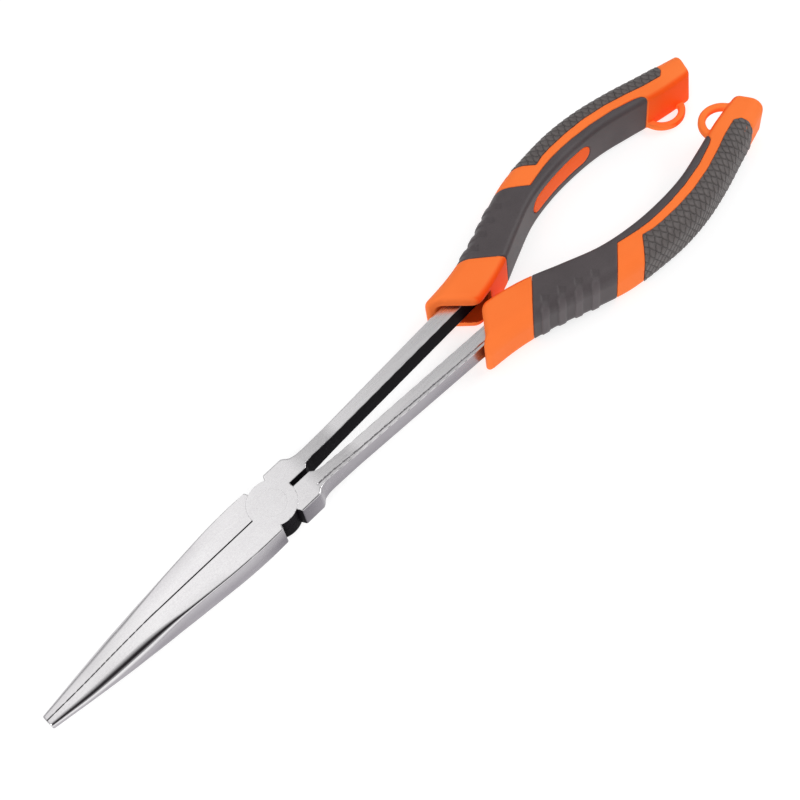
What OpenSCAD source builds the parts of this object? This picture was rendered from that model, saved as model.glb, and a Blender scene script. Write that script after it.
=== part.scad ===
// Long-reach fishing pliers: two crossed forged levers turning on one rivet,
// each with a two-colour moulded grip and a lanyard ring.
// Origin: on the pivot axis, at the flat underside of the joint.
// +X runs from the pivot to the handle ends, +Y is the left handle, +Z is up.

/* [Joint] */
// Thickness of the lap joint
joint_t = 8.8; // [8:0.1:11]
// Radius of each round boss in the lap joint
boss_r = 7.4; // [7:0.1:7.6]
// Radial clearance between a boss and the seat around it
seat_gap = 0.15; // [0.1:0.05:0.3]
// Clearance between the two lapped boss faces
lap_gap = 0.1; // [0.05:0.05:0.2]
// Shank radius of the rivet
rivet_r = 3; // [2.5:0.1:3.5]
// Running clearance of the rivet in the right lever
rivet_gap = 0.05; // [0.02:0.01:0.1]
// Rivet head radius, swaged into a countersink and ground flush
head_r = 4.2; // [4:0.1:4.6]
// Depth of the countersink
head_h = 1.2; // [1:0.1:1.6]

/* [Jaws] */
// Length of the jaws from the pivot
jaw_len = 83; // [78:1:90]
// Half thickness of the jaws at the tip
tip_h = 1.5; // [1.2:0.1:2.2]
// Distance from the pivot at which the serrations start
teeth_from = 48; // [40:2:60]
// Pitch of the serrations
teeth_pitch = 1.6; // [1.4:0.1:2.4]
// Depth of the serrations
teeth_depth = 0.35; // [0.2:0.05:0.5]

/* [Arms] */
// Thickness of the arms
arm_t = 7.2; // [6.4:0.1:8.4]
// Thickness of the tangs inside the grips
tang_t = 5.2; // [4:0.1:6]
// Width of the tangs
tang_w = 5; // [4:0.1:5.4]

/* [Grips] */
// Thickness of the grips
grip_t = 15.7; // [15:0.1:17]
// Thickness of the soft overmould on the core
soft_t = 2; // [1.6:0.1:2.4]
// Wall between the outside of the collar and its hollow
collar_wall = 3.9; // [3.6:0.1:4]
// Height of the hollow in the collar
collar_gap = 8.8; // [8.6:0.1:10.2]
// Height of the inlay facing the fingers
inlay_h = 7.4; // [6:0.1:8]
// Number of raised ribs on the front of the soft grip
rib_n = 4; // [2:1:4]
// Distance along X from one rib to the next
rib_pitch = 5.4; // [5:0.1:5.7]

/* [Lanyard ring] */
// Outer radius of the ring
ring_r = 7.8; // [7.5:0.1:7.9]
// Width of the ring's band
ring_w = 2.4; // [2:0.1:2.8]
// Thickness of the ring
ring_t = 2.4; // [2:0.1:3]
// Height of the ring off the middle plane
ring_z = 5.6; // [5:0.1:6]

/* [Hidden] */
$fn = 96;

zm = joint_t / 2;      // height of the middle plane
gh = grip_t / 2;       // half thickness of a grip

// Smooth curve through control values spaced evenly along X
function cr(a, b, c, d, t) = 0.5 * (2 * b + (c - a) * t
    + (2 * a - 5 * b + 4 * c - d) * t * t + (3 * b - a - 3 * c + d) * t * t * t);
function at(tab, x, x0, dx) = let (s = (x - x0) / dx, i = max(1, floor(s)))
    cr(tab[i - 1], tab[i], tab[i + 1], tab[i + 2], s - i);

// Edges of the left grip, every 12 mm from x = 64
grip_out = [13.2, 13.7, 15.1, 18.2, 22.6, 26.5, 28.1, 28.8, 27.8, 25.3, 21.9, 18.6, 15.2, 12];
grip_in = [-1, 0, 0.9, 3.8, 8.8, 13.5, 15.8, 16.4, 15.6, 13, 10.1, 8.3, 7, 5.5];
function y_out(x) = at(grip_out, x, 64, 12);
function y_in(x) = at(grip_in, x, 64, 12);

// Middle line of the left tang, every 12 mm from x = 76
tang_mid = [6.3, 6.9, 10.7, 15.5, 19.2, 21.2, 21.5, 20.3, 17.8, 15, 12.4, 10];
function y_tang(x) = at(tang_mid, x, 76, 12);

// Outside of the jaw, every 10 mm from the pivot
jaw_out = [8.25, 8.4, 8, 7.1, 6.3, 5.8, 5.1, 4.1, 2.6, 1, 0.1];
function y_jaw(x) = at(concat([8.2], jaw_out), x, -10, 10);

front_out = 75;        // tip of the collar on the outside
front_in = 86.2;       // corner of the collar on the inside
end_out = 199.6;         // end of the grip on the outside
end_in = 195.4;          // end of the grip on the inside

// Plan outline of the left grip, moved in by a on the outside and b on the inside
function grip_outline(a, b) = concat(
    [for (i = [0:30]) let (x = front_out + a + i * (end_out - a - front_out - a - 1) / 30) [x, y_out(x) - a]],
    [[end_out - a, y_out(end_out) - a - 1.2]],
    [[end_in + 0.8 - b, y_in(end_in) + b + 1.2]],
    [for (i = [27:-1:0]) let (x = front_in + a * 0.3 + i * (end_in - b - front_in - a * 0.3) / 27) [x, y_in(x) + b]]);

// One layer of the grip, h thick about the middle plane
module layer(a, b, h) translate([0, 0, zm - h / 2]) linear_extrude(h) polygon(grip_outline(a, b));

// Whole envelope of the left grip with rounded long edges
module envelope() {
    layer(0, 0, grip_t - 7.6);
    layer(0.4, 0.1, grip_t - 4.8);
    layer(1.1, 0.4, grip_t - 2.8);
    layer(2, 0.9, grip_t - 1.3);
    layer(3.4, 1.7, grip_t);
}
// Inside of the overmould
module inside() layer(soft_t, soft_t, grip_t - 2 * soft_t);

module prism(pts) translate([0, 0, zm - gh - 2]) linear_extrude(grip_t + 4) polygon(pts);

// Plan regions of the two soft pieces: the front and finger side, and the palm side
soft_pts = [[108.7, 0], [102, 6.3], [92.6, 15.1], [74.5, 32], [111, 32], [120, 24.3], [128, 17.4],
    [132, 18.3], [136, 19.1], [140, 19.6], [145, 19.8], [150, 19.7], [158, 19], [167, 17.4],
    [175, 14.9], [177.4, 13.8], [178, 12.4], [177.6, 4], [177.6, 0]];
palm_pts = [[135, 21.2], [124.5, 32], [190.6, 32], [190.6, 18.4], [189.6, 16], [187.6, 14.6],
    [181, 16.2], [175, 18.2], [167, 20.5], [158, 22.1], [150, 22.6], [143, 22.5], [139, 22.2]];

// Stadium that the inlay fills, through the finger side of the grip
module inlay_cut() translate([0, 20, zm]) rotate([90, 0, 0]) linear_extrude(20) {
    translate([125.5 + inlay_h / 2, 0]) circle(inlay_h / 2);
    translate([155 - inlay_h / 2, 0]) circle(inlay_h / 2);
    translate([125.5 + inlay_h / 2, -inlay_h / 2]) square([29.5 - inlay_h, inlay_h]);
}

// Hollow at the mouth of the collar, open to the front and to the finger side
module mouth() translate([0, 0, zm - collar_gap / 2]) linear_extrude(collar_gap) polygon([
    [70, y_out(78) - collar_wall], [82, y_out(82) - collar_wall], [88, y_out(88) - collar_wall],
    [94, y_out(94) - collar_wall], [98, y_out(98) - collar_wall - 0.6], [100, 13.2],
    [100, 7.6], [96, 5], [92.4, 3.4], [92.2, -6], [70, -6]]);

module tang(h) translate([0, 0, zm - h / 2]) linear_extrude(h) polygon(concat(
    [for (i = [0:22]) let (x = 96 + i * 4) [x, y_tang(x) + tang_w / 2]],
    [for (i = [22:-1:0]) let (x = 96 + i * 4) [x, y_tang(x) - tang_w / 2]]));

module ring() translate([185.9, 12, zm - ring_z - ring_t / 2]) difference() {
    cylinder(h = ring_t, r = ring_r);
    translate([0, 0, -1]) cylinder(h = ring_t + 2, r = ring_r - ring_w);
}

module grip_core() {
    difference() {
        envelope();
        difference() { prism(soft_pts); inside(); }
        difference() { prism(palm_pts); inside(); }
        tang(tang_t);
        mouth();
    }
    // ring, running into the solid of the handle end
    difference() { ring(); inside(); envelope(); }
}

// Raised ribs across the outer side of the front section, slanted like the collar's edge
module ribs() intersection() {
    union() {
        layer(-0.45, 0, grip_t - 6.4);
        layer(0.2, 0, grip_t - 3.4);
    }
    union() for (i = [0:rib_n - 1]) translate([i * rib_pitch, i * rib_pitch / 3, 0])
        prism([[99.1, 12.6], [100.6, 14.3], [88.9, 25.2], [87.4, 23.5]]);
}

module soft_grip() difference() {
    union() {
        intersection() { envelope(); prism(soft_pts); }
        ribs();
    }
    inside();
    inlay_cut();
}

module palm_pad() difference() {
    intersection() { envelope(); prism(palm_pts); }
    inside();
}

module finger_inlay() difference() {
    intersection() { envelope(); inlay_cut(); }
    inside();
}

// Side profile that thins the jaws towards the tip, and steps down to arm and tang
module side_profile() translate([0, 60, zm]) rotate([90, 0, 0]) linear_extrude(120) polygon(concat(
    [for (s = [1, -1]) each let (p = [[-jaw_len, tip_h], [-70, 2.1], [-64, 2.75], [-57, 3.5], [-46, zm],
        [14, zm], [28, arm_t / 2], [97.5, arm_t / 2], [98.5, tang_t / 2], [186, tang_t / 2]])
        s > 0 ? [for (q = p) [q[0], q[1]]] : [for (i = [len(p) - 1:-1:0]) [p[i][0], -p[i][1]]]]));

// Jaw in plan: a serrated front, a fine gap behind it, and a radial rear end
module jaw_plan() polygon(concat(
    [for (i = [0:(jaw_len - teeth_from) / teeth_pitch - 0.5]) let (x = -jaw_len + i * teeth_pitch)
        each [[x, -0.08], [x + teeth_pitch * 0.6, -0.08], [x + teeth_pitch * 0.8, -0.08 - teeth_depth]]],
    [[-teeth_from, -0.17], [0, -0.17], [9 * cos(248), -8.3]],
    [for (i = [1:20]) let (x = 4 * i) [-x, -y_jaw(x)]],
    [[-jaw_len, -2]]));

// Shoulder, arm and tang in plan
module arm_plan() polygon(concat(
    [[0, 0.8], [8.4 / tan(64), 8.4], [11.2, 8.4], [12.7, 6.7], [14.5, 6.25], [18, 6.3], [80, 9.6], [90, 10.2]],
    [for (i = [0:22]) let (x = 96 + i * 4) [x, y_tang(x) + tang_w / 2]],
    [for (i = [22:-1:0]) let (x = 96 + i * 4) [x, y_tang(x) - tang_w / 2]],
    [[90, 5.2], [80, 4.75], [17.6, 2.33], [15.3, 2], [14, 0.8]]));

// One forging: jaw on the right, round boss in the upper half of the joint, arm on the left
module forging(gap) difference() {
    union() {
        intersection() {
            linear_extrude(joint_t) union() { jaw_plan(); arm_plan(); }
            side_profile();
        }
        translate([0, 0, zm + lap_gap / 2]) cylinder(h = zm - lap_gap / 2, r = boss_r);
    }
    // seat of the other lever's boss
    translate([0, 0, -1]) cylinder(h = zm + 1 + lap_gap / 2, r = boss_r + seat_gap);
    // rivet hole and its countersink
    translate([0, 0, -1]) cylinder(h = joint_t + 2, r = rivet_r + gap);
    translate([0, 0, joint_t - head_h]) cylinder(h = head_h, r1 = rivet_r + gap, r2 = head_r + gap);
}

// The right half is the left half turned over about X
module turned() translate([0, 0, joint_t]) rotate([180, 0, 0]) children();

module left_lever() color("#d8d6d8") forging(0);
module right_lever() color("#cfcdd0") turned() forging(rivet_gap);
module pivot_rivet() color("#b9b7bb") {
    translate([0, 0, head_h]) cylinder(h = joint_t - 2 * head_h, r = rivet_r);
    translate([0, 0, joint_t - head_h]) cylinder(h = head_h, r1 = rivet_r, r2 = head_r);
    cylinder(h = head_h, r1 = head_r, r2 = rivet_r);
}
module left_grip_core() color("#ff7a3c") grip_core();
module right_grip_core() color("#ff7a3c") turned() grip_core();
module left_soft_grip() color("#4f4c50") soft_grip();
module right_soft_grip() color("#4f4c50") turned() soft_grip();
module left_palm_pad() color("#5b5858") palm_pad();
module right_palm_pad() color("#5b5858") turned() palm_pad();
module left_finger_inlay() color("#ff6a2c") finger_inlay();
module right_finger_inlay() color("#ff6a2c") turned() finger_inlay();

left_lever();
right_lever();
pivot_rivet();
left_grip_core();
right_grip_core();
left_soft_grip();
right_soft_grip();
left_palm_pad();
right_palm_pad();
left_finger_inlay();
right_finger_inlay();
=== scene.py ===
import bpy, math
import numpy as np
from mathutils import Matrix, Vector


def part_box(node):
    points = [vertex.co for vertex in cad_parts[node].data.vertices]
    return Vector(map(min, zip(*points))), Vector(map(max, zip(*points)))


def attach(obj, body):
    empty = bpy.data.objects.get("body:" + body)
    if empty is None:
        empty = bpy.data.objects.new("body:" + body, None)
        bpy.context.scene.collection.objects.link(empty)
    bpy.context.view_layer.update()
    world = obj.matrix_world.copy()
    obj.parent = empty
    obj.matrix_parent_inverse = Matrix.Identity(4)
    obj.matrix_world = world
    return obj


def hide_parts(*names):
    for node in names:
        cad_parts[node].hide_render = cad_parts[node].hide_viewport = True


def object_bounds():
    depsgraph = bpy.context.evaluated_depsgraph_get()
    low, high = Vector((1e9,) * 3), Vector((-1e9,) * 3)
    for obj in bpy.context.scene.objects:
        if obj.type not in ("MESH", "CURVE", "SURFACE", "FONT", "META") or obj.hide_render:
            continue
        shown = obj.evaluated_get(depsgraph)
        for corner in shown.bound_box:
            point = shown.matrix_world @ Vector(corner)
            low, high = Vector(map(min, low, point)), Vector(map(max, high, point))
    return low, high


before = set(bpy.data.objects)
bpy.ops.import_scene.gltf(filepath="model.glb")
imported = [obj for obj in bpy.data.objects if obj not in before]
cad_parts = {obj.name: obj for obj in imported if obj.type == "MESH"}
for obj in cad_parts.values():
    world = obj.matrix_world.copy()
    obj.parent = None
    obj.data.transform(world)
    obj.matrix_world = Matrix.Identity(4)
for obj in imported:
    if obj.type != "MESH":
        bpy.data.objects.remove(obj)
CAD_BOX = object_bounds()

# ------------------------------------------------------------------ frame sizes, in mm
lo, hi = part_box("left_lever")
ZM = 500.0 * (lo[2] + hi[2])               # height of the middle plane
JT = 500.0 * (hi[2] - lo[2])               # half thickness of the joint
TIP = 1000.0 * lo[0]                       # tip of the jaws
glo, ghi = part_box("left_grip_core")
GH = 500.0 * (ghi[2] - glo[2])             # half thickness of the grips
F32 = np.float32


# ------------------------------------------------------------------ tools for fields and meshes
def spline(tab, x, x0, dx):
    tab = np.asarray(tab, float)
    s = np.clip((np.asarray(x, float) - x0) / dx, 1.0, len(tab) - 2.0001)
    i = np.floor(s).astype(int)
    t = s - i
    a, b, c, d = tab[i - 1], tab[i], tab[i + 1], tab[i + 2]
    return 0.5 * (2 * b + (c - a) * t + (2 * a - 5 * b + 4 * c - d) * t * t + (3 * b - a - 3 * c + d) * t ** 3)


def lin(x, pts):
    return np.interp(x, [p[0] for p in pts], [p[1] for p in pts])


def soft_lin(x, pts, w):
    """A broken line with its corners rounded over w."""
    return sum(lin(x + k * w, pts) for k in (-1.0, -0.6, -0.2, 0.2, 0.6, 1.0)) / 6.0


def rmax(a, b, r):
    """Where both fields are inside, with the edge between them rounded to r."""
    return np.minimum(np.maximum(a, b), -r) + np.hypot(np.maximum(a + r, 0), np.maximum(b + r, 0))


def rmin(a, b, r):
    return -rmax(-a, -b, r)


def curve_side(f, x, y, sign):
    """Distance beyond the curve y = f(x), outwards where sign is +1 and inwards where it is -1."""
    v = f(x)
    k = (f(x + 0.05) - f(x - 0.05)) / 0.1
    return sign * (y - v) / np.sqrt(1 + k * k)


def poly_sdf(x, y, pts):
    P = np.array(pts, float)
    d = np.full(np.broadcast(x, y).shape, 1e9)
    s = np.ones_like(d)
    j = len(P) - 1
    for i in range(len(P)):
        ex, ey = P[j] - P[i]
        wx, wy = x - P[i, 0], y - P[i, 1]
        t = np.clip((wx * ex + wy * ey) / (ex * ex + ey * ey), 0, 1)
        d = np.minimum(d, (wx - ex * t) ** 2 + (wy - ey * t) ** 2)
        c1, c2, c3 = y >= P[i, 1], y < P[j, 1], ex * wy > ey * wx
        flip = (c1 & c2 & c3) | (~c1 & ~c2 & ~c3)
        s = np.where(flip, -s, s)
        j = i
    return s * np.sqrt(d)


def nets(V, lo, h):
    """A closed quad mesh of the surface where the sampled field V is 0."""
    S = V < 0
    n = np.zeros(tuple(k - 1 for k in V.shape), np.int8)
    C = [(i, j, k) for i in (0, 1) for j in (0, 1) for k in (0, 1)]
    sl = lambda o, m: slice(o, m - 1 + o)
    for c in C:
        n += S[sl(c[0], V.shape[0]), sl(c[1], V.shape[1]), sl(c[2], V.shape[2])]
    act = (n > 0) & (n < 8)
    idx = np.argwhere(act)
    vid = np.full(act.shape, -1, np.int32)
    vid[act] = np.arange(len(idx), dtype=np.int32)
    pos, num = np.zeros((len(idx), 3)), np.zeros(len(idx))
    val = {c: V[idx[:, 0] + c[0], idx[:, 1] + c[1], idx[:, 2] + c[2]].astype(float) for c in C}
    for c in C:
        for ax in range(3):
            if c[ax]:
                continue
            e = list(c)
            e[ax] = 1
            e = tuple(e)
            va, vb = val[c], val[e]
            m = (va < 0) != (vb < 0)
            t = va[m] / (va[m] - vb[m])
            p = np.repeat(np.array(c, float)[None], m.sum(), 0)
            p[:, ax] += t
            pos[m] += p
            num[m] += 1
    verts = np.array(lo) + h * (idx + pos / num[:, None])
    faces = []
    for ax in range(3):
        o1, o2 = (ax + 1) % 3, (ax + 2) % 3
        a = [slice(1, k - 1) for k in V.shape]
        b = list(a)
        a[ax], b[ax] = slice(0, V.shape[ax] - 1), slice(1, V.shape[ax])
        sa, sb = S[tuple(a)], S[tuple(b)]
        for flag, order in ((sa & ~sb, 1), (~sa & sb, -1)):
            q = np.argwhere(flag)
            if not len(q):
                continue
            g = q.copy()
            g[:, o1] += 1
            g[:, o2] += 1
            cells = []
            for d1, d2 in ((-1, -1), (0, -1), (0, 0), (-1, 0)):
                c = g.copy()
                c[:, o1] += d1
                c[:, o2] += d2
                cells.append(vid[c[:, 0], c[:, 1], c[:, 2]])
            f = np.stack(cells, 1)
            faces.append(f if order > 0 else f[:, ::-1])
    return verts, np.concatenate(faces)


def grid(lo, hi, h):
    ax = [np.arange(lo[i], hi[i] + h, h) for i in range(3)]
    return ax[0][:, None, None], ax[1][None, :, None], ax[2][None, None, :]


def field_mesh(f, lo, hi, h, chunk=120, crisp=False):
    """Samples f in slabs along X and meshes it."""
    x, y, z = grid(lo, hi, h)
    V = np.concatenate([np.asarray(f(x[i:i + chunk], y, z), F32) for i in range(0, x.shape[0], chunk)])
    verts, faces = nets(V, lo, h)
    if crisp:
        verts = sharpen(f, V, lo, h, verts, faces)
    return verts, faces


def sharpen(f, V, lo, h, verts, faces, rounds=1):
    """Moves the points of the mesh onto the true edges of the field, from its slopes where it crosses the grid."""
    S = V < 0
    n = np.zeros(tuple(k - 1 for k in V.shape), np.int8)
    for c in [(i, j, k) for i in (0, 1) for j in (0, 1) for k in (0, 1)]:
        n += S[c[0]:V.shape[0] - 1 + c[0], c[1]:V.shape[1] - 1 + c[1], c[2]:V.shape[2] - 1 + c[2]]
    act = (n > 0) & (n < 8)
    idx = np.argwhere(act)
    vid = np.full(act.shape, -1, np.int32)
    vid[act] = np.arange(len(idx), dtype=np.int32)
    M = len(idx)
    A, B, P, N = np.zeros((M, 6)), np.zeros((M, 3)), np.zeros((M, 3)), np.zeros(M)
    lo = np.array(lo)
    for ax in range(3):
        o1, o2 = (ax + 1) % 3, (ax + 2) % 3
        a = [slice(1, k - 1) for k in V.shape]
        b = list(a)
        a[ax], b[ax] = slice(0, V.shape[ax] - 1), slice(1, V.shape[ax])
        q = np.argwhere(S[tuple(a)] != S[tuple(b)])
        g = q.copy()
        g[:, o1] += 1
        g[:, o2] += 1
        e = g.copy()
        e[:, ax] += 1
        va = V[g[:, 0], g[:, 1], g[:, 2]].astype(float)
        vb = V[e[:, 0], e[:, 1], e[:, 2]].astype(float)
        p = lo + h * g
        p[:, ax] += h * va / (va - vb)
        eps = 0.012
        nrm = np.zeros_like(p)
        for kx, ky, kz in ((1, -1, -1), (-1, -1, 1), (-1, 1, -1), (1, 1, 1)):
            w = f(p[:, 0] + eps * kx, p[:, 1] + eps * ky, p[:, 2] + eps * kz)
            nrm += w[:, None] * np.array([kx, ky, kz])
        nrm /= np.maximum(np.linalg.norm(nrm, axis=1), 1e-9)[:, None]
        d = (nrm * p).sum(1)
        for d1, d2 in ((-1, -1), (0, -1), (0, 0), (-1, 0)):
            c = g.copy()
            c[:, o1] += d1
            c[:, o2] += d2
            v = vid[c[:, 0], c[:, 1], c[:, 2]]
            for t, (r, s_) in enumerate(((0, 0), (0, 1), (0, 2), (1, 1), (1, 2), (2, 2))):
                A[:, t] += np.bincount(v, nrm[:, r] * nrm[:, s_], M)
            for r in range(3):
                B[:, r] += np.bincount(v, nrm[:, r] * d, M)
                P[:, r] += np.bincount(v, p[:, r], M)
            N += np.bincount(v, minlength=M)
    m = P / N[:, None]
    K = np.empty((M, 3, 3))
    for t, (r, s_) in enumerate(((0, 0), (0, 1), (0, 2), (1, 1), (1, 2), (2, 2))):
        K[:, r, s_] = K[:, s_, r] = A[:, t]
    rhs = B - np.einsum("nij,nj->ni", K, m)
    K[:, [0, 1, 2], [0, 1, 2]] += 0.08
    x = m + np.linalg.solve(K, rhs[..., None])[..., 0]
    base = lo + h * idx
    return np.clip(x, base - 0.1 * h, base + 1.1 * h)


def make(name, verts, faces, turned=False):
    v = verts.copy()
    if turned:
        v[:, 1:] *= -1
    v[:, 2] += ZM
    me = bpy.data.meshes.new(name)
    me.vertices.add(len(v))
    me.vertices.foreach_set("co", (v * 0.001).astype(F32).ravel())
    me.loops.add(faces.size)
    me.loops.foreach_set("vertex_index", faces.astype(np.int32).ravel())
    me.polygons.add(len(faces))
    me.polygons.foreach_set("loop_start", np.arange(0, faces.size, 4, dtype=np.int32))
    me.polygons.foreach_set("use_smooth", np.ones(len(faces), bool))
    me.update(calc_edges=True)
    me.validate()
    o = bpy.data.objects.new(name, me)
    bpy.context.scene.collection.objects.link(o)
    return o


# ------------------------------------------------------------------ the steel levers
JAW = [8.2, 8.25, 8.4, 8, 7.15, 6.35, 5.9, 5.2, 4.1, 2.6, 1, 0.1]
BOSS, SEAT, LAP = 7.43, 7.45, 0.05
PITCH, DEEP, TEETH = 1.6, 0.35, 48.0


def jaw_half(x):
    return spline(JAW, -x, -10, 10)


def jaw_h(x):
    return soft_lin(x, [(TIP - 9, 0.9), (TIP, 1.5), (-70, 2.15), (-64, 2.8), (-57, 3.55), (-46, JT), (0, JT)], 3.0)


def arm_side(x):
    return lin(x, [(18, 6.35), (80, 9.6), (90, 10.2), (120, 12)])


def shoulder(x):
    return soft_lin(x, [(0, 8.4), (11.1, 8.4), (12.9, 6.75), (15.0, 6.3), (18, 6.35), (80, 9.6), (90, 10.2)], 0.5)


def arm_in(x):
    return lin(x, [(0, 0.8), (13.9, 0.8), (15.3, 2.0), (17.6, 2.33), (80, 4.75), (90, 5.2), (92, 5.4)])


def arm_h(x):
    return soft_lin(x, [(0, JT), (13, JT), (27, 3.6), (200, 3.6)], 2.0)


TANG = [6.3, 6.9, 10.7, 15.5, 19.2, 21.2, 21.5, 20.3, 17.8, 15, 12.4, 10]


def tang_mid(x):
    return spline(TANG, x, 76, 12)


def lever_field(x, y, z, play=0.0):
    az = np.abs(z)
    rc = np.hypot(x, y)
    # jaw
    side = curve_side(jaw_half, x, -y, 1)
    crown = np.maximum(0, -y - jaw_half(x) + 3.5) * np.clip((-14 - x) / 10, 0, 1)
    top = az - jaw_h(x) + 0.015 * crown * crown
    r = soft_lin(x, [(TIP, 0.8), (-78, 1.3), (-70, 1.8), (-62, 2.3), (-51, 2.35), (-44, 1.6), (-37, 0.75),
                     (-28, 0.5), (0, 0.35)], 2.5)
    d = rmax(side, top, r)
    ph = ((x - TIP) % PITCH) / PITCH
    tooth = np.clip(1 - np.abs(ph - 0.8) / 0.3, 0, 1) * (0.08 + 0.92 * np.clip((-top - 0.5) / 0.9, 0, 1))
    fine = np.clip((-TEETH + 10 - x) / 12, 0, 1)
    face = y + 0.17 - 0.145 * fine + DEEP * tooth * (fine == 1)
    d = rmax(d, face, 0.03)
    d = rmax(d, TIP - x, 0.35)
    d = rmax(d, 0.9272 * x - 0.3746 * y, 0.3)
    # shoulder and arm
    a_top = az - arm_h(x)
    a = rmax(curve_side(shoulder, x, y, 1), a_top, np.where(z > 0, 0.6, 0.42))
    a = rmax(a, curve_side(arm_in, x, y, -1), 0.25)
    a = rmax(a, -0.8988 * x + 0.4384 * y, 0.3)
    step = np.maximum(rmax(arm_side(x) - 0.95 - y, 12.4 - x, 0.75), arm_h(x) - 0.5 + z)
    a = rmax(a, -step, 0.18)
    # the arm gives way to the tang inside the grip
    t = np.maximum(np.abs(y - tang_mid(x)) / np.sqrt(1.2) - 2.3, az - 2.6)
    t = np.maximum(t, np.maximum(94 - x, x - 184))
    a = np.minimum(np.maximum(a, x - 97), t)
    body = np.minimum(d, a)
    # seat of the other boss, then this lever's own boss
    body = rmax(body, -np.maximum(rc - SEAT, z - LAP), 0.03)
    boss = np.maximum(rmax(rc - BOSS, z - JT, 0.04), LAP - z)
    body = np.minimum(body, boss)
    hole = rc - (3.0 + play + 1.2 * np.clip((z - JT + 1.2) / 1.2, 0, 1))
    return np.maximum(body, -hole)


# ------------------------------------------------------------------ the grips
OUT = [13.2, 13.7, 15.1, 18.2, 22.6, 26.5, 28.1, 28.8, 27.8, 25.3, 21.9, 18.6, 15.2, 12]
INN = [-1, 0, 0.9, 3.8, 8.8, 13.5, 15.8, 16.4, 15.6, 13, 10.1, 8.3, 7, 5.5]
SOFT = [(108.7, 0), (102, 6.3), (92.6, 15.1), (74.5, 32), (111, 32), (120, 24.3), (128, 17.4),
        (132, 18.3), (136, 19.1), (140, 19.6), (145, 19.8), (150, 19.7), (158, 19), (167, 17.4),
        (175, 14.9), (177.1, 13.9), (177.9, 12.6), (177.6, 4), (177.6, 0)]
PALM = [(135, 21.2), (124.5, 32), (190.6, 32), (190.6, 18.4), (189.6, 16), (187.6, 14.6),
        (181, 16.2), (175, 18.2), (167, 20.5), (158, 22.1), (150, 22.6), (143, 22.5), (139, 22.2)]
RO, RI = 4.6, 1.9
MOUTH = [(70, 9.75), (82, 10.25), (88, 10.95), (94, 12.7), (98, 13.8), (100, 13.2), (100, 7.6), (96, 5),
         (92.4, 3.4), (92.2, -6), (70, -6)]


def y_out(x):
    return spline(OUT, x, 64, 12)


def y_in(x):
    return spline(INN, x, 64, 12)


def shell(x, y, z, grow=0.0):
    """The whole grip, grown outwards by grow, and the fields it is made of."""
    az = np.abs(z)
    a = curve_side(y_out, x, y, 1) - grow
    b = curve_side(y_in, x, y, -1) - grow
    mid = 0.5 * (y_out(x) + y_in(x))
    c = az - GH - grow + 0.0075 * (y - mid) ** 2
    lip = np.clip((y - 8.5) / 2.8, 0, 1)
    front = -0.758 * (x - 76) - 0.652 * (y - 13.2) - grow - 0.75 - 0.9 * lip * lip * (3 - 2 * lip)
    nose = -0.909 * (x - 75.0) + 0.417 * (y - 12.9) - grow
    end = 0.908 * (x - 199.5 + 0.1 * z) - 0.418 * (y - 16.4) - grow
    g = np.maximum(rmax(a, c, RO), rmax(b, c, RI))
    g = rmax(g, rmax(nose, front, 1.6), 1.7)
    g = rmax(g, end, 1.3)
    g = np.maximum(g, rmax(a, end, 1.9))
    return g, a, b, c


def inner(a, b, az):
    return np.maximum(np.maximum(a, b) + 2.0, az - (GH - 2.0))


def stadium(x, z, grow=0.0):
    r = 3.7
    cx = np.clip(x, 125.5 + r, 155 - r)
    return np.hypot(x - cx, z) - r - grow


def core_field(x, y, z):
    az = np.abs(z)
    g, a, b, c = shell(x, y, z)
    soft, palm = poly_sdf(x, y, SOFT), poly_sdf(x, y, PALM)
    keep = inner(a, b, az)
    for mask in (soft, palm):
        g = rmax(g, -np.maximum(mask, -keep), 0.16)
    mouth = poly_sdf(x, y, MOUTH)
    g = rmax(g, -rmax(mouth, az - 4.3, 0.9), 0.3)
    rr = np.hypot(x - 185.9, y - 12.0)
    ring = rmax(np.abs(rr - 6.65) - 1.2, np.abs(z + 5.6) - 1.2, 0.75)
    return rmin(g, ring, 0.5)


def rib_height(x, y, z):
    """Bars across the outer front of the soft grip: let in at their inner end, standing proud on the side."""
    u = 0.683 * x + 0.73 * y               # across the bars
    s = -0.73 * x + 0.683 * y              # along them, outwards
    i = np.clip(np.round((u - 78.0) / 5.03), 0, 3)
    a = s + 63.9 + 2.75 * i
    d = np.maximum(np.abs(u - 78.0 - 5.03 * i) - 1.13, -a)
    return np.clip(0.5 - d / 0.26, 0, 1) * (0.4 * np.clip((a - 1.6) / 3.0, 0, 1) - 0.32 * np.clip(1.8 - a / 2.2, 0, 1))


def soft_field(x, y, z):
    az = np.abs(z)
    g, a, b, c = shell(x, y, z, 0.12)
    g = g - rib_height(x, y, z) + 0.12
    mask = poly_sdf(x, y, SOFT)
    g = rmax(g, mask + 0.05, 0.28)
    g = np.maximum(g, -inner(a + 0.12, b + 0.12, az))
    lip = rmax(-stadium(x, z, 0.05), -(b + 6.0), 0.05)
    return rmax(g, -np.maximum(stadium(x, z, 0.06), y - y_in(x) - 6), 0.2)


def inlay_field(x, y, z):
    az = np.abs(z)
    g, a, b, c = shell(x, y, z, 0.06)
    g = rmax(g, np.maximum(stadium(x, z, -0.06), y - y_in(x) - 6), 0.35)
    return np.maximum(g, -inner(a + 0.06, b + 0.06, az))


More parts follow.
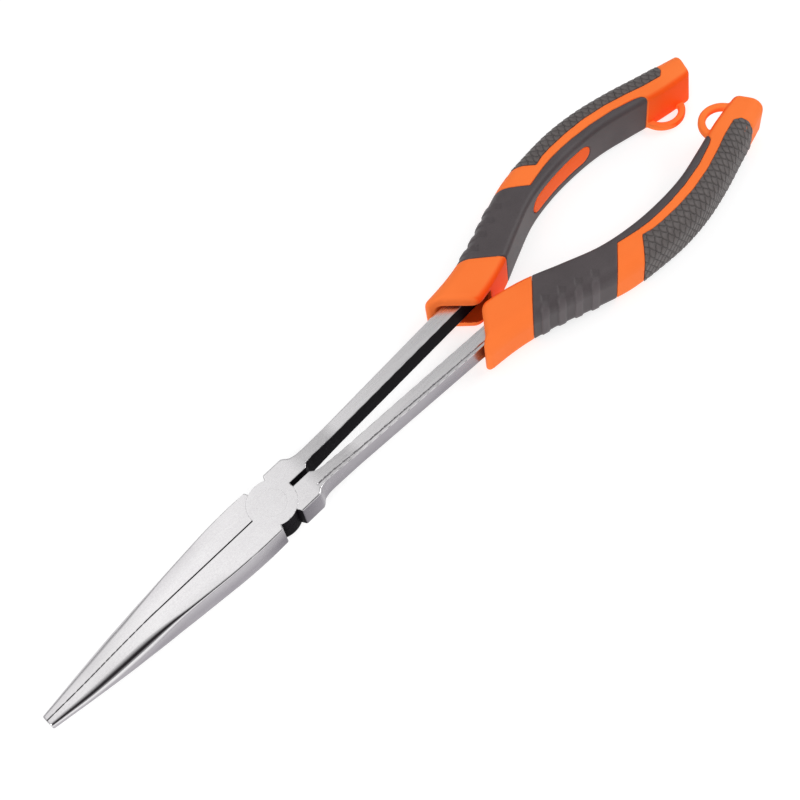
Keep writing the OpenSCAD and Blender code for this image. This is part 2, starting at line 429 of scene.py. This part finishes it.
def scales(x, y, z):
    """Overlapping fish scales, 0 to 1, laid out along the grip and round its outer side."""
    az = np.abs(z)
    yo = y_out(x)
    s = spline(ARC, x, 112, 4)
    fa, fb = y - (yo - RO), az - (GH - RO)
    th = np.arctan2(np.maximum(fb, 0), np.maximum(fa, 1e-6))
    t = np.where(fb <= 0, az, (GH - RO) + RO * th + np.maximum(-fa, 0) * (fb > 0))
    t = t * np.sign(z)
    R, ROW = 1.95, 1.3                     # each scale's radius, and how far each row shows past the next
    k0 = np.floor(s / ROW)
    out = np.zeros(np.broadcast(s, t).shape)
    for dk in (-2, -1, 0, 1, 2):           # rows nearer the butt lie over those before them
        k = k0 + dk
        half = R * (k % 2)
        ct = half + 2 * R * np.round((t - half) / (2 * R))
        rr = np.hypot(s - k * ROW, t - ct)
        rise = np.clip((R - rr) / 0.5, 0, 1)
        dome = rise * (0.55 + 0.45 * np.clip((k * ROW - s) / R * 0.8 + 0.35, 0, 1))
        out = np.where(rr < R, dome, out)
    return out


_xs = np.arange(100, 214, 0.25)
_arc = np.concatenate([[0], np.cumsum(np.hypot(np.diff(_xs), np.diff(y_out(_xs) - 3)))])
ARC = np.interp(np.arange(112, 206, 4), _xs, _arc)


def palm_field(x, y, z):
    az = np.abs(z)
    g, a, b, c = shell(x, y, z, 0.0)
    g = g + 0.12 - 0.42 * scales(x, y, z)
    mask = poly_sdf(x, y, PALM)
    g = rmax(g, mask + 0.05, 0.3)
    return np.maximum(g, -inner(a, b, az))


H1 = 0.2
H2 = 0.28
H3 = 0.2
lever = field_mesh(lever_field, (TIP - 1.2, -9.6, -JT - 0.6), (185.2, 25.5, JT + 0.6), H1, crisp=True)
core = field_mesh(core_field, (73.0, -0.6, -GH - 0.8), (203.6, 30.2, GH + 0.8), H2)
softg = field_mesh(soft_field, (89.0, 2.6, -GH - 0.9), (179.6, 30.2, GH + 0.9), H2)
inlay = field_mesh(inlay_field, (124.4, 11.0, -4.6), (156.2, 22.0, 4.6), H2)
palm = field_mesh(palm_field, (124.5, 12.5, -GH - 0.8), (192.6, 30.6, GH + 0.8), H3)

pieces = {}
for side, body in (("left", "left_half"), ("right", "right_half")):
    t = side == "right"
    for name, data, node, slot in (
        ("lever_forging", lever, "lever", "ground_steel"),
        ("core_moulding", core, "grip_core", "orange_core"),
        ("soft_moulding", softg, "soft_grip", "soft_grey"),
        ("inlay_moulding", inlay, "finger_inlay", "orange_inlay"),
        ("palm_moulding", palm, "palm_pad", "palm_grey"),
    ):
        o = make(f"{side}_{name}", data[0], data[1], t)
        if node == "lever":
            o.data.set_sharp_from_angle(angle=math.radians(32))
        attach(o, body)
        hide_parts(f"{side}_{node}")
        pieces[f"{side}_{node}"] = o


# ------------------------------------------------------------------ materials
def new_mat(name):
    m = bpy.data.materials.new(name)
    m.use_nodes = True
    nt = m.node_tree
    for n in list(nt.nodes):
        nt.nodes.remove(n)
    out = nt.nodes.new("ShaderNodeOutputMaterial")
    b = nt.nodes.new("ShaderNodeBsdfPrincipled")
    nt.links.new(b.outputs[0], out.inputs[0])
    return m, nt, b


def node(nt, kind, **kw):
    n = nt.nodes.new(kind)
    for k, v in kw.items():
        if k in n.bl_rna.properties and not k.startswith("in_"):
            setattr(n, k, v)
    return n


def coords(nt, scale=(1, 1, 1)):
    tc = nt.nodes.new("ShaderNodeTexCoord")
    mp = nt.nodes.new("ShaderNodeMapping")
    mp.inputs["Scale"].default_value = scale
    nt.links.new(tc.outputs["Object"], mp.inputs[0])
    return mp.outputs[0]


def noise(nt, vec, scale, detail=4.0, rough=0.55):
    n = nt.nodes.new("ShaderNodeTexNoise")
    n.inputs["Scale"].default_value = scale
    n.inputs["Detail"].default_value = detail
    n.inputs["Roughness"].default_value = rough
    nt.links.new(vec, n.inputs["Vector"])
    return n.outputs[0]


def ramp(nt, fac, stops):
    r = nt.nodes.new("ShaderNodeValToRGB")
    e = r.color_ramp.elements
    while len(e) < len(stops):
        e.new(0.5)
    for k, (p, c) in enumerate(stops):
        e[k].position = p
        e[k].color = (*c, 1) if len(c) == 3 else c
    nt.links.new(fac, r.inputs[0])
    return r.outputs[0]


def maprange(nt, v, a, b, c, d):
    m = nt.nodes.new("ShaderNodeMapRange")
    for k, val in zip(("From Min", "From Max", "To Min", "To Max"), (a, b, c, d)):
        m.inputs[k].default_value = val
    nt.links.new(v, m.inputs[0])
    return m.outputs[0]


def bump(nt, h, strength, dist):
    b = nt.nodes.new("ShaderNodeBump")
    b.inputs["Strength"].default_value = strength
    b.inputs["Distance"].default_value = dist
    nt.links.new(h, b.inputs["Height"])
    return b.outputs[0]


def mix(nt, fac, a, b):
    m = nt.nodes.new("ShaderNodeMix")
    m.data_type = "RGBA"
    nt.links.new(fac, m.inputs[0])
    for s, v in ((6, a), (7, b)):
        if isinstance(v, tuple):
            m.inputs[s].default_value = (*v, 1)
        else:
            nt.links.new(v, m.inputs[s])
    return m.outputs[2]


def mixf(nt, fac, a, b):
    m = nt.nodes.new("ShaderNodeMix")
    m.data_type = "FLOAT"
    nt.links.new(fac, m.inputs[0])
    for s, v in ((2, a), (3, b)):
        if isinstance(v, (int, float)):
            m.inputs[s].default_value = v
        else:
            nt.links.new(v, m.inputs[s])
    return m.outputs[0]


def add(nt, a, b, op="ADD"):
    m = nt.nodes.new("ShaderNodeMath")
    m.operation = op
    for s, v in ((0, a), (1, b)):
        if isinstance(v, (int, float)):
            m.inputs[s].default_value = v
        else:
            nt.links.new(v, m.inputs[s])
    return m.outputs[0]


def steel():
    m, nt, b = new_mat("ground_steel")
    at = nt.nodes.new("ShaderNodeAttribute")
    at.attribute_name = "finish_and_painted_light"
    sep = nt.nodes.new("ShaderNodeSeparateColor")
    nt.links.new(at.outputs["Color"], sep.inputs[0])
    black, painted_flank_shade, deeper_painted_shade, keen = sep.outputs[0], sep.outputs[1], sep.outputs[2], at.outputs["Alpha"]
    fine = noise(nt, coords(nt, (60, 900, 900)), 1.0, 6, 0.6)          # grinding lines along the tool
    mottle = noise(nt, coords(nt, (1, 1, 1)), 2000, 3, 0.6)             # pits of the forged skin
    cloud = noise(nt, coords(nt, (0.5, 1, 1)), 60, 3, 0.5)
    bright = ramp(nt, add(nt, add(nt, fine, mottle), 0.5, "MULTIPLY"),
                  [(0.32, (0.69, 0.675, 0.69)), (0.5, (0.765, 0.75, 0.76)), (0.66, (0.82, 0.81, 0.815))])
    # painted shade: a darker base colour for the side faces, standing in for the dim reflections steel turned from the
    # light shows
    side = ramp(nt, cloud, [(0.3, (0.30, 0.28, 0.31)), (0.7, (0.44, 0.42, 0.445))])
    # painted shade: the flanks drawn darker still near the joint and along the arms
    side = mix(nt, deeper_painted_shade, side, (0.15, 0.137, 0.16))
    col = mix(nt, painted_flank_shade, bright, side)
    oxide = ramp(nt, mottle, [(0.35, (0.0022, 0.0016, 0.0032)), (0.7, (0.007, 0.005, 0.0085))])
    nt.links.new(mix(nt, black, col, oxide), b.inputs["Base Color"])
    nt.links.new(maprange(nt, black, 0, 1, 1.0, 0.0), b.inputs["Metallic"])
    b.inputs["Specular IOR Level"].default_value = 0.03
    ro = maprange(nt, add(nt, fine, cloud), 0.6, 1.4, 0.22, 0.32)
    nt.links.new(mixf(nt, black, mixf(nt, keen, 0.13, ro), 0.55), b.inputs["Roughness"])
    h = add(nt, add(nt, fine, 0.6, "MULTIPLY"), add(nt, mottle, 0.5, "MULTIPLY"))
    nt.links.new(bump(nt, h, 0.16, 0.00003), b.inputs["Normal"])
    return m


def orange(name, deep=0.0):
    m, nt, b = new_mat(name)
    cloud = noise(nt, coords(nt), 45, 3, 0.5)
    grain = noise(nt, coords(nt), 2600, 3, 0.6)
    at = nt.nodes.new("ShaderNodeAttribute")
    at.attribute_name = "finish_and_painted_light"
    sep = nt.nodes.new("ShaderNodeSeparateColor")
    nt.links.new(at.outputs["Color"], sep.inputs[0])
    base = ramp(nt, cloud, [(0.3, (0.96, 0.208 - 0.02 * deep, 0.044)), (0.7, (1.0, 0.236 - 0.02 * deep, 0.054))])
    base = mix(nt, sep.outputs[0], base, (0.95, 0.115, 0.014))           # painted shade: the finger side, turned from the light, drawn in a deeper orange
    # painted shade in the hollow: a dark red base there, with no glow
    nt.links.new(mix(nt, sep.outputs[1], base, (0.42, 0.035, 0.004)), b.inputs["Base Color"])
    nt.links.new(maprange(nt, sep.outputs[1], 0, 1, 0.09, 0.0), b.inputs["Emission Strength"])
    nt.links.new(maprange(nt, grain, 0.3, 0.7, 0.38, 0.5), b.inputs["Roughness"])
    nt.links.new(bump(nt, grain, 0.25, 0.00003), b.inputs["Normal"])
    b.inputs["Specular IOR Level"].default_value = 0.03
    b.inputs["Emission Color"].default_value = (1.0, 0.03, 0.0, 1)       # painted glow: a steady emission standing in for the day-glow pigment's fluorescence
    return m


def grey(name, lo_c, hi_c, rough):
    m, nt, b = new_mat(name)
    cloud = noise(nt, coords(nt), 80, 4, 0.55)
    grain = noise(nt, coords(nt), 3200, 3, 0.65)
    base = ramp(nt, add(nt, add(nt, cloud, grain), 0.5, "MULTIPLY"), [(0.35, lo_c), (0.65, hi_c)])
    at = nt.nodes.new("ShaderNodeAttribute")
    at.attribute_name = "finish_and_painted_light"
    sep = nt.nodes.new("ShaderNodeSeparateColor")
    nt.links.new(at.outputs["Color"], sep.inputs[0])
    base = mix(nt, sep.outputs[0], base, tuple(0.42 * v for v in lo_c))   # painted shade held in the grooves
    # painted highlight: the crests of ribs and scales drawn lighter
    nt.links.new(mix(nt, sep.outputs[1], base, tuple(1.55 * v for v in hi_c)), b.inputs["Base Color"])
    nt.links.new(maprange(nt, grain, 0.3, 0.7, rough - 0.06, rough + 0.06), b.inputs["Roughness"])
    nt.links.new(bump(nt, grain, 0.35, 0.00004), b.inputs["Normal"])
    b.inputs["Specular IOR Level"].default_value = 0.35
    return m


STEEL = steel()
MATS = {
    "lever": STEEL,
    "grip_core": orange("orange_core"),
    "finger_inlay": orange("orange_inlay", 1.0),
    "soft_grip": grey("soft_grey", (0.064, 0.053, 0.056), (0.094, 0.079, 0.083), 0.5),
    "palm_pad": grey("palm_grey", (0.074, 0.063, 0.062), (0.11, 0.096, 0.093), 0.5),
}
for key, o in pieces.items():
    o.data.materials.clear()
    o.data.materials.append(MATS[key.split("_", 1)[1]])
    me = o.data
    if not key.endswith("_lever"):
        # painted shade on the finger side and in the hollow of the hard core; painted shade in the grooves and painted
        # highlights on the crests of the soft grip and palm pad
        n = len(me.vertices)
        co, no = np.empty(n * 3), np.empty(n * 3)
        me.vertices.foreach_get("co", co)
        me.vertices.foreach_get("normal", no)
        co, no = co.reshape(-1, 3) * 1000, no.reshape(-1, 3)
        co[:, 2] -= ZM
        if key.startswith("right"):
            co[:, 1:] *= -1
            no[:, 1:] *= -1
        x, y, z = co.T
        painted_shade, painted_hollow_shade_and_crest_light = np.zeros(n), np.zeros(n)
        if key.endswith("grip_core"):
            painted_shade = np.clip((-no[:, 1] - 0.25) / 0.5, 0, 1) * (y < y_in(x) + 3) * np.clip((no[:, 0] + 0.45) / 0.25, 0, 1)
            painted_hollow_shade_and_crest_light = np.clip(0.9 - poly_sdf(x, y, MOUTH) / 0.4, 0, 1) * (np.abs(z) < 4.6) * np.clip((x - 77) / 5, 0.25, 1)
        elif key.endswith("finger_inlay"):
            # the inlay lies on the finger side: painted shade over all of it
            painted_shade = np.full(n, 0.6)
        elif key.endswith("palm_pad"):
            v = scales(x, y, z)
            painted_shade, painted_hollow_shade_and_crest_light = np.clip(1 - v / 0.35, 0, 1), np.clip((v - 0.62) / 0.38, 0, 1) * 0.55
        else:
            v = rib_height(x, y, z)
            painted_shade, painted_hollow_shade_and_crest_light = np.clip(-v / 0.3, 0, 1) * 0.15, np.clip((v - 0.12) / 0.25, 0, 1) * 0.4
        ca = me.color_attributes.new("finish_and_painted_light", "FLOAT_COLOR", "POINT")
        ca.data.foreach_set("color", np.stack([painted_shade, painted_hollow_shade_and_crest_light, 0 * x, 1 + 0 * x], 1).astype(F32).ravel())
        continue
    # which faces keep the black oxide, and which get painted shade: side faces and fillets drawn darker by how they
    # face the light
    n = len(me.vertices)
    co, no = np.empty(n * 3), np.empty(n * 3)
    me.vertices.foreach_get("co", co)
    me.vertices.foreach_get("normal", no)
    co, no = co.reshape(-1, 3) * 1000, no.reshape(-1, 3)
    co[:, 2] -= ZM
    if key.startswith("right"):
        co[:, 1:] *= -1
        no[:, 1:] *= -1
    x, y, z = co.T
    nx, ny, nz = no.T
    step = lambda v, a, b: np.clip((v - a) / (b - a), 0, 1)
    flat = 1 - step(np.abs(nz), 0.55, 0.75)
    rc = np.hypot(x, y)
    inner_arm = (x > 6.5) * step(-ny, 0.3, 0.5) * flat
    ends = (np.abs(x) < 7) * (rc > 6.5) * step(np.where(x < 0, nx, -nx), 0.55, 0.75) * flat
    barrel = (rc < 7.7) * flat * (z < JT - 0.2) * (np.abs(x) < 0.47 * rc)
    jaw_face = (x < -6) * (y > -0.6) * step(ny, 0.4, 0.6)
    lap = (rc < 7.7) * (z < 1.0) * (z > -JT + 0.35)
    blk = np.clip(np.maximum.reduce([inner_arm, ends, barrel, jaw_face, lap * 1.0]), 0, 1)
    # painted shade: steep faces, undersides and the crowned edge under the jaw drawn darker by how they face the light
    tilt = 1 - np.abs(nz)
    near = step(tilt, 0.62, 0.93) * (1 - 0.3 * step(z, -1, 3) * (x < 0))
    edge = 0.25 * step(-y - jaw_half(x), -4.5, -1) * (nz < -0.5)
    far = np.maximum(step(tilt, 0.06, 0.45), edge)
    painted_flank_shade = near + (far - near) * (nz < 0) * step(-x, 12, 26)
    # painted shade: darker towards the joint, and along the arms' sides, more with height
    deeper_painted_shade = np.maximum(np.exp(-((x - 1.0) / 13.0) ** 2), (x > 6) * (0.22 + 0.3 * step(z, -2.5, 3.5)))
    keen = 1 - (x < -30) * step(tilt, 0.03, 0.1) * (1 - step(tilt, 0.75, 0.95)) * (nz > 0)
    ca = me.color_attributes.new("finish_and_painted_light", "FLOAT_COLOR", "POINT")
    ca.data.foreach_set("color", np.stack([blk, painted_flank_shade, deeper_painted_shade, keen], 1).astype(F32).ravel())

# the rivet: a countersunk pin, peened over and ground flush at both ends
prof = [(0.0, JT + 0.012), (2.2, JT + 0.012), (4.31, JT + 0.012), (4.36, JT + 0.003), (4.2, JT - 0.12), (3.0, JT - 1.2)]
prof = prof + [(r, -z) for r, z in reversed(prof)]
N = 96
ang = 2 * np.pi * np.arange(N) / N
rv = [np.stack([r * np.cos(ang), r * np.sin(ang), np.full(N, z)], 1) for r, z in prof[1:-1]]
rv = np.concatenate(rv + [np.array([[0, 0, prof[0][1]], [0, 0, prof[-1][1]]])])
rows = len(prof) - 2
rf = []
for k in range(rows - 1):
    for q in range(N):
        a, b_, c, d_ = k * N + q, k * N + (q + 1) % N, (k + 1) * N + (q + 1) % N, (k + 1) * N + q
        rf.append((a, d_, c, b_))
for q in range(N):
    rf.append((rows * N, q, (q + 1) % N))
    rf.append((rows * N + 1, (rows - 1) * N + (q + 1) % N, (rows - 1) * N + q))
me = bpy.data.meshes.new("pivot_pin")
me.from_pydata([(p[0] * 0.001, p[1] * 0.001, (p[2] + ZM) * 0.001) for p in rv], [], rf)
me.polygons.foreach_set("use_smooth", [abs(p.normal.z) < 0.9 for p in me.polygons])
rivet = bpy.data.objects.new("pivot_pin", me)
bpy.context.scene.collection.objects.link(rivet)
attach(rivet, "left_half")
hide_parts("pivot_rivet")
rm, nt, b = new_mat("rivet_steel")
fine = noise(nt, coords(nt, (60, 900, 900)), 1.0, 6, 0.6)
mottle = noise(nt, coords(nt), 2000, 3, 0.6)
cloud = noise(nt, coords(nt, (0.5, 1, 1)), 60, 3, 0.5)
nt.links.new(ramp(nt, add(nt, add(nt, fine, mottle), 0.5, "MULTIPLY"),
                  [(0.32, (0.69, 0.675, 0.69)), (0.5, (0.765, 0.75, 0.76)), (0.66, (0.82, 0.81, 0.815))]),
             b.inputs["Base Color"])
b.inputs["Metallic"].default_value = 1.0
nt.links.new(maprange(nt, add(nt, fine, cloud), 0.6, 1.4, 0.22, 0.32), b.inputs["Roughness"])
nt.links.new(bump(nt, add(nt, add(nt, fine, 0.6, "MULTIPLY"), add(nt, mottle, 0.5, "MULTIPLY")), 0.16, 0.00003),
             b.inputs["Normal"])
rivet.data.materials.append(rm)

# ------------------------------------------------------------------ floor, light and camera
zf = min(CAD_BOX[0][2], CAD_BOX[1][2])
me = bpy.data.meshes.new("floor")
S = 6.0
me.from_pydata([(-S, -S, zf), (S, -S, zf), (S, S, zf), (-S, S, zf)], [], [(0, 1, 2, 3)])
floor = bpy.data.objects.new("floor", me)
bpy.context.scene.collection.objects.link(floor)
fm, nt, b = new_mat("floor")
b.inputs["Base Color"].default_value = (0.42, 0.42, 0.42, 1)
b.inputs["Roughness"].default_value = 0.9
b.inputs["Specular IOR Level"].default_value = 0.1
b.inputs["Emission Color"].default_value = (1, 1, 1, 1)
b.inputs["Emission Strength"].default_value = 0.7
me.materials.append(fm)


def area(name, loc, target, size, energy, shape="RECTANGLE", size_y=None):
    L = bpy.data.lights.new(name, "AREA")
    L.shape = shape
    L.size = size
    if size_y:
        L.size_y = size_y
    L.energy = energy
    o = bpy.data.objects.new(name, L)
    o.location = loc
    d = np.array(target) - np.array(loc)
    import mathutils
    o.rotation_euler = mathutils.Vector(d).to_track_quat("-Z", "Y").to_euler()
    bpy.context.scene.collection.objects.link(o)
    return o


area("left_box", (-1.15, -0.55, 1.05), (0.06, 0, 0), 0.9, 10.0, size_y=0.9)
area("right_box", (1.2, -0.55, 1.0), (0.06, 0, 0), 0.9, 8.5, size_y=0.9)

w = bpy.data.worlds.new("studio")
bpy.context.scene.world = w
w.use_nodes = True
wn = w.node_tree
for n in list(wn.nodes):
    wn.nodes.remove(n)
wo = wn.nodes.new("ShaderNodeOutputWorld")
bg = wn.nodes.new("ShaderNodeBackground")
wn.links.new(bg.outputs[0], wo.inputs[0])
tc = wn.nodes.new("ShaderNodeTexCoord")
sp = wn.nodes.new("ShaderNodeSeparateXYZ")
wn.links.new(tc.outputs["Generated"], sp.inputs[0])
sky = ramp(wn, sp.outputs[2], [(0.0, (0.34, 0.34, 0.345)), (0.3, (0.42, 0.42, 0.425)), (0.6, (0.62, 0.62, 0.625)),
                               (1.0, (0.66, 0.66, 0.665))])
glow = ramp(wn, maprange(wn, sp.outputs[0], -0.5, 0.5, 0.0, 1.0),
            [(0.0, (0.62,) * 3), (0.25, (0.88,) * 3), (0.33, (1.16,) * 3), (0.5, (1.24,) * 3), (0.66, (1.28,) * 3),
             (0.73, (1.0,) * 3), (0.80, (0.66,) * 3), (0.87, (0.3,) * 3), (1.0, (0.25,) * 3)])
high = add(wn, maprange(wn, sp.outputs[1], 0.1, 0.35, 0.0, 1.0), maprange(wn, sp.outputs[2], 0.6, 0.8, 0.0, 1.0), "MULTIPLY")
sky = mix(wn, high, sky, glow)
ax_ = wn.nodes.new("ShaderNodeMath")
ax_.operation = "ABSOLUTE"
wn.links.new(sp.outputs[0], ax_.inputs[0])
gate = add(wn, maprange(wn, sp.outputs[1], -0.6, 0.05, 1.0, 0.0), maprange(wn, ax_.outputs[0], 0.3, 0.6, 1.0, 0.0), "MULTIPLY")
gate = add(wn, gate, maprange(wn, sp.outputs[2], 0.12, 0.42, 0.0, 1.0), "MULTIPLY")
wn.links.new(mix(wn, gate, sky, (0.02, 0.017, 0.02)), bg.inputs[0])
bg.inputs[1].default_value = 1.0

sc = bpy.context.scene
sc.view_settings.view_transform = "Standard"
sc.view_settings.look = "None"

az, el, roll = math.radians(-35.515), math.radians(58.746), math.radians(-11.92)
back = np.array([math.sin(az) * math.cos(el), -math.cos(az) * math.cos(el), math.sin(el)])
right = np.array([math.cos(az), math.sin(az), 0])
up = np.cross(back, right)
r2 = math.cos(roll) * right + math.sin(roll) * up
u2 = -math.sin(roll) * right + math.cos(roll) * up
target = np.array([0.05266, 0, (ZM - 0.7) * 0.001])
loc = target + back * 0.41275
import mathutils
M = mathutils.Matrix(((r2[0], u2[0], back[0], loc[0]), (r2[1], u2[1], back[1], loc[1]),
                      (r2[2], u2[2], back[2], loc[2]), (0, 0, 0, 1)))
cam = bpy.data.cameras.new("camera")
cam.lens, cam.sensor_width, cam.sensor_fit = 63.2, 36.0, "HORIZONTAL"
cam.shift_x, cam.shift_y = -4.58 / 800, -11.37 / 800
cam.clip_start, cam.clip_end = 0.01, 50
co = bpy.data.objects.new("camera", cam)
co.matrix_world = M
sc.collection.objects.link(co)
sc.camera = co
